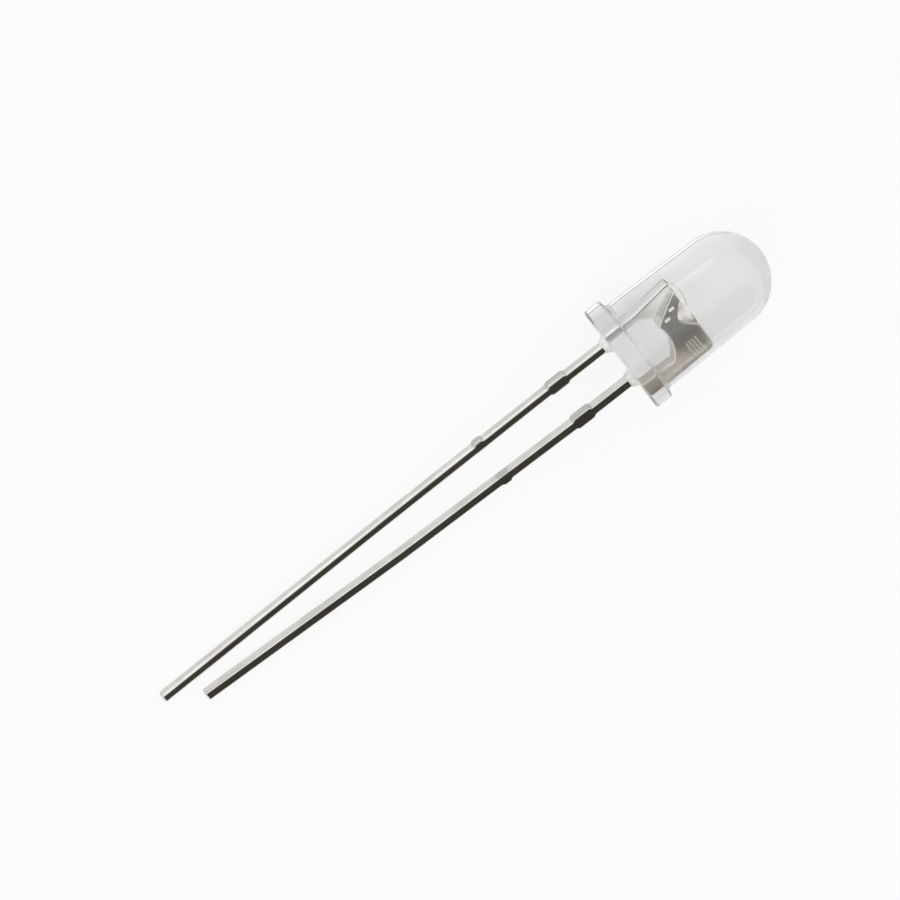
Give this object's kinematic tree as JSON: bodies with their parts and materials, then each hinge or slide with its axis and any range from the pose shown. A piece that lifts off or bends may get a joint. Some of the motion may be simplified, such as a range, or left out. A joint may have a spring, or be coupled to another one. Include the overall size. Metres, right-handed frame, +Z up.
{
  "type": "through hole led",
  "caption": "Clear round through hole LED with a domed lens, a flange with a cathode flat, and long straight leads of unequal length with stand-offs.",
  "frame": {"origin": "centre of the flange's underside, the seating plane, on the axis of the lens", "axes": "+X from the leads to the dome, level with the floor; +Z up, square to the floor; the anode is on the +Y side and the cathode on the -Y side. The LED lies on the rim of its flange and the tips of both leads, so the axis of the lens climbs 5.70 degrees from +X and the lead sheet leans 6.54 degrees towards -Y."},
  "size_m": [0.0358, 0.0056, 0.0059],
  "materials": {
    "clear_epoxy": "gloss",
    "plated_steel": "satin",
    "chip": "satin",
    "adhesive": "satin",
    "gold_wire": "polished"
  },
  "bodies": {
    "root": {"lens": "clear_epoxy", "cathode_lead": "plated_steel", "anode_lead": "plated_steel", "led_die": "chip", "die_attach": "adhesive", "bond_wire": "gold_wire"}
  },
  "joints": []
}
